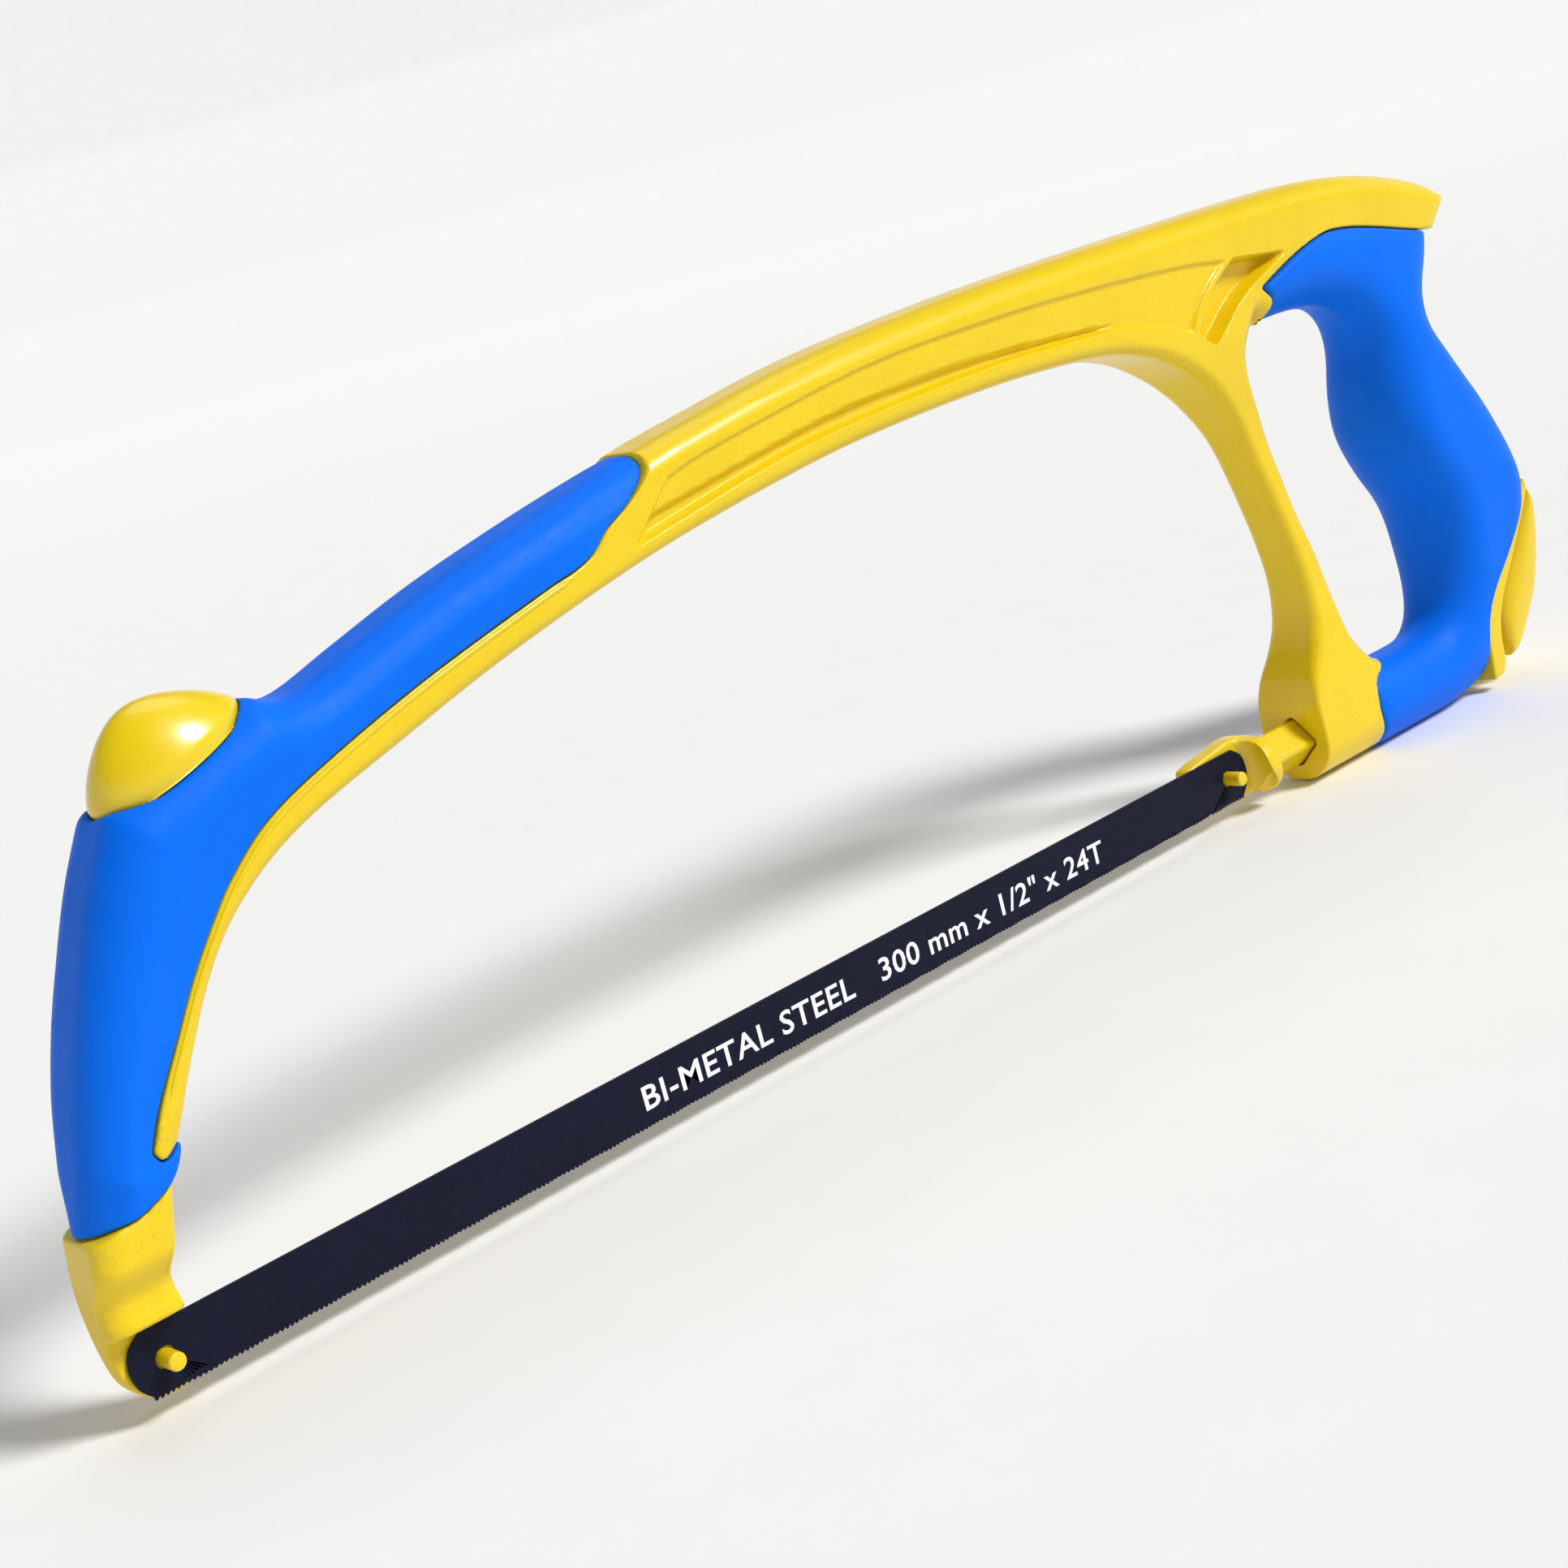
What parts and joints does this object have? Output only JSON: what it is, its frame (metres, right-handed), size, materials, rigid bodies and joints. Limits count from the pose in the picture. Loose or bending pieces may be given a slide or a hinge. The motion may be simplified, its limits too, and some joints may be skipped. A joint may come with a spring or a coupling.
{
  "type": "hacksaw",
  "caption": "Hand hacksaw with a cast bow, rubber grips, a pinned 300 mm blade and a cam lever in the handle that tensions it",
  "frame": {"origin": "middle of the saw's length and thickness, at its lowest point under the boss and lower handle", "axes": "+X along the blade from the front pin to the handle, +Y to the side the blade pins point away from, +Z from the teeth up to the bow"},
  "size_m": [0.444, 0.0308, 0.1437],
  "materials": {
    "bow_paint": "glossy yellow powder coat with a fine texture on die-cast aluminium",
    "grip_rubber": "satin bright blue moulded rubber",
    "cap_plastic": "glossy yellow moulding",
    "fitting_paint": "glossy yellow paint on steel and zinc fittings",
    "plated_steel": "zinc-plated turned steel",
    "blade_enamel": "near-black blue baked enamel with bare steel tooth tips"
  },
  "bodies": {
    "frame": {"frame_casting": "bow_paint", "front_grip": "grip_rubber", "rear_grip": "grip_rubber", "thumb_cap": "cap_plastic", "front_blade_pin": "fitting_paint", "cam_saddle": "plated_steel"},
    "drawbar": {"blade_holder": "fitting_paint", "rear_blade_pin": "fitting_paint", "draw_rod": "plated_steel", "barrel_nut": "plated_steel"},
    "lever": {"tension_lever": "fitting_paint"},
    "blade": {"saw_blade": "blade_enamel"}
  },
  "joints": [
    {"name": "lever_swing", "type": "hinge", "parent": "drawbar", "child": "lever", "pos_m": [0.2005, 0, 0.0103], "axis": [0, 1, 0], "range_deg": [0, 110]},
    {"name": "drawbar_slide", "type": "slide", "parent": "frame", "child": "drawbar", "axis": [-1, 0, 0], "range_m": [0, 0.0005]},
    {"name": "blade_lift", "type": "slide", "parent": "frame", "child": "blade", "axis": [0, -1, 0], "range_m": [0, 0.009]}
  ],
  "couplings": [
    {"joint": "drawbar_slide", "follows": "lever_swing", "m_per_rad": 0.00026}
  ]
}
